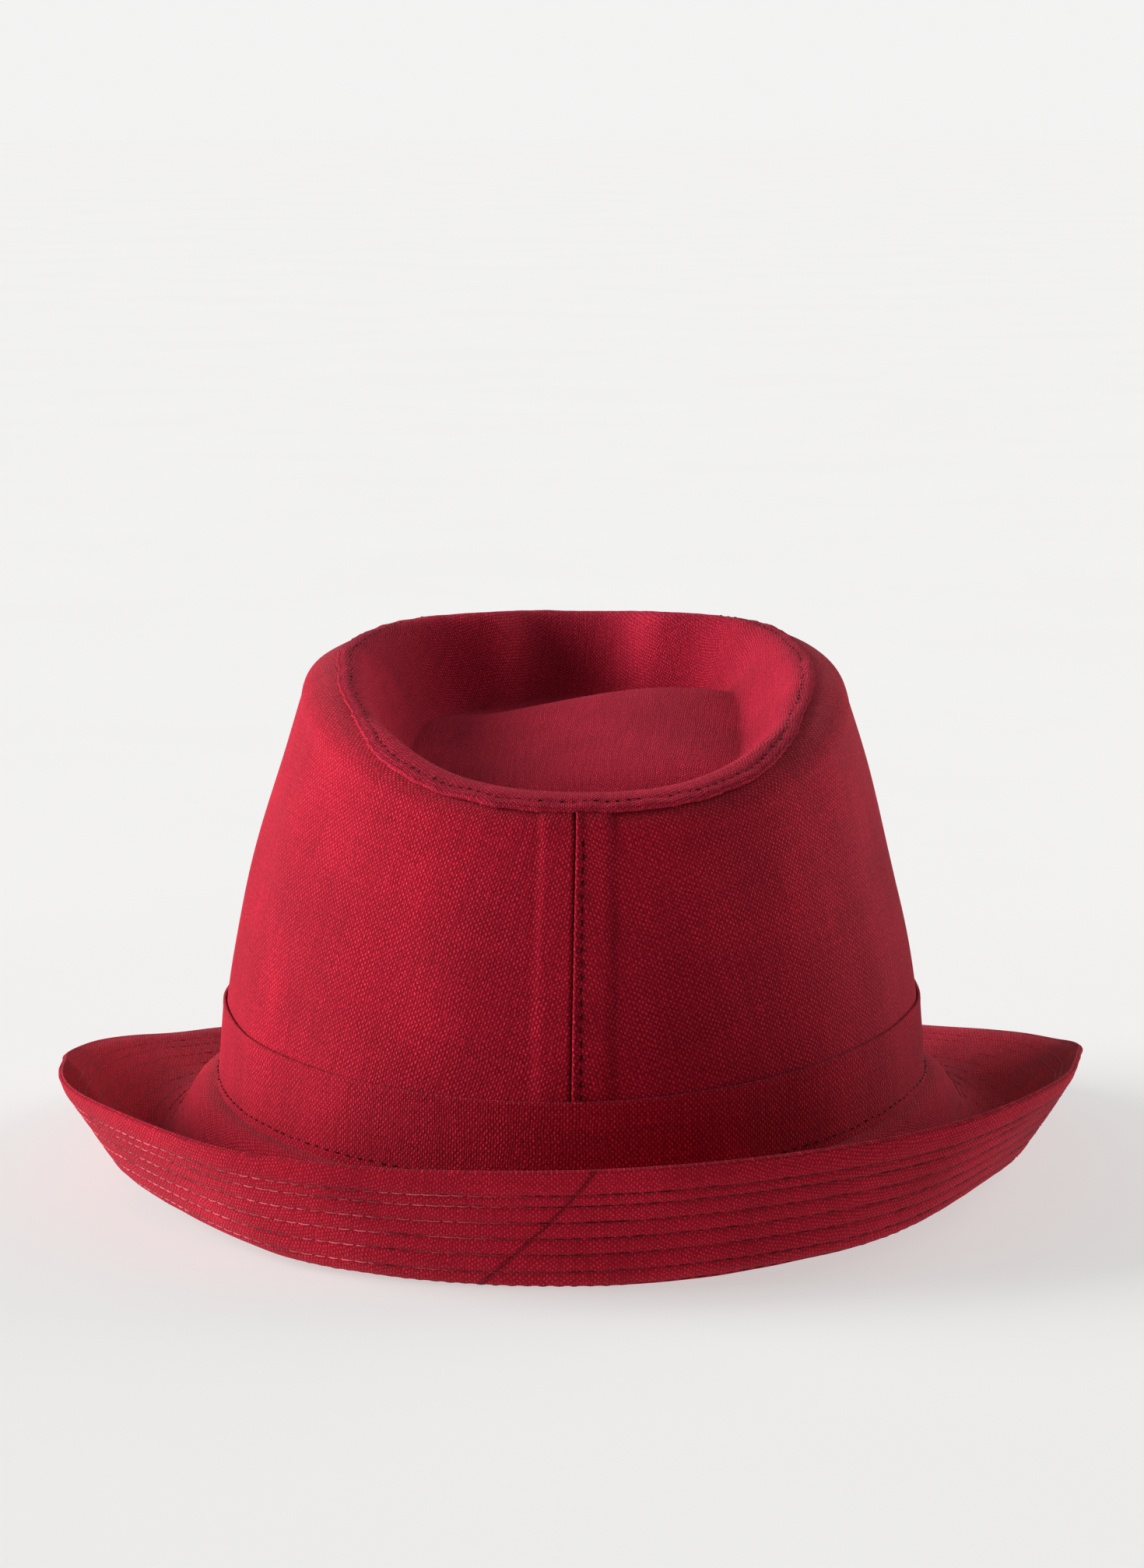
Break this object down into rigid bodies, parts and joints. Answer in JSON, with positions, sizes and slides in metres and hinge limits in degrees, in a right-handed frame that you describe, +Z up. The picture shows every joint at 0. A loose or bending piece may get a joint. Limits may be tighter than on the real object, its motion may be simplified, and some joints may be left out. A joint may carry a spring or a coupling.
{
  "type": "canvas trilby hat",
  "caption": "Soft canvas trilby hat with a creased tip, two side panels, a flat band and a stitched brim turned up at the back and snapped down at the front.",
  "frame": {"origin": "middle of the hat's outline on the table it rests on, so the lowest cloth of the brim is at z = 0", "axes": "+Z up out of the crown, +Y towards the front of the hat where the brim is snapped down, +X towards its right-hand side seen from behind"},
  "size_m": [0.2478, 0.2936, 0.1249],
  "materials": {
    "crown_canvas": "plain weave cotton canvas, matt, dyed deep red",
    "tip_canvas": "plain weave cotton canvas, matt, dyed deep red",
    "band_canvas": "plain weave cotton canvas, matt, dyed deep red",
    "brim_upper_canvas": "plain weave cotton canvas, matt, dyed deep red",
    "brim_under_canvas": "plain weave cotton canvas, matt, dyed deep red"
  },
  "bodies": {
    "root": {"crown_panel_left": "crown_canvas", "crown_panel_right": "crown_canvas", "crown_tip": "tip_canvas", "hat_band": "band_canvas", "brim_upper": "brim_upper_canvas", "brim_under": "brim_under_canvas"}
  },
  "joints": []
}
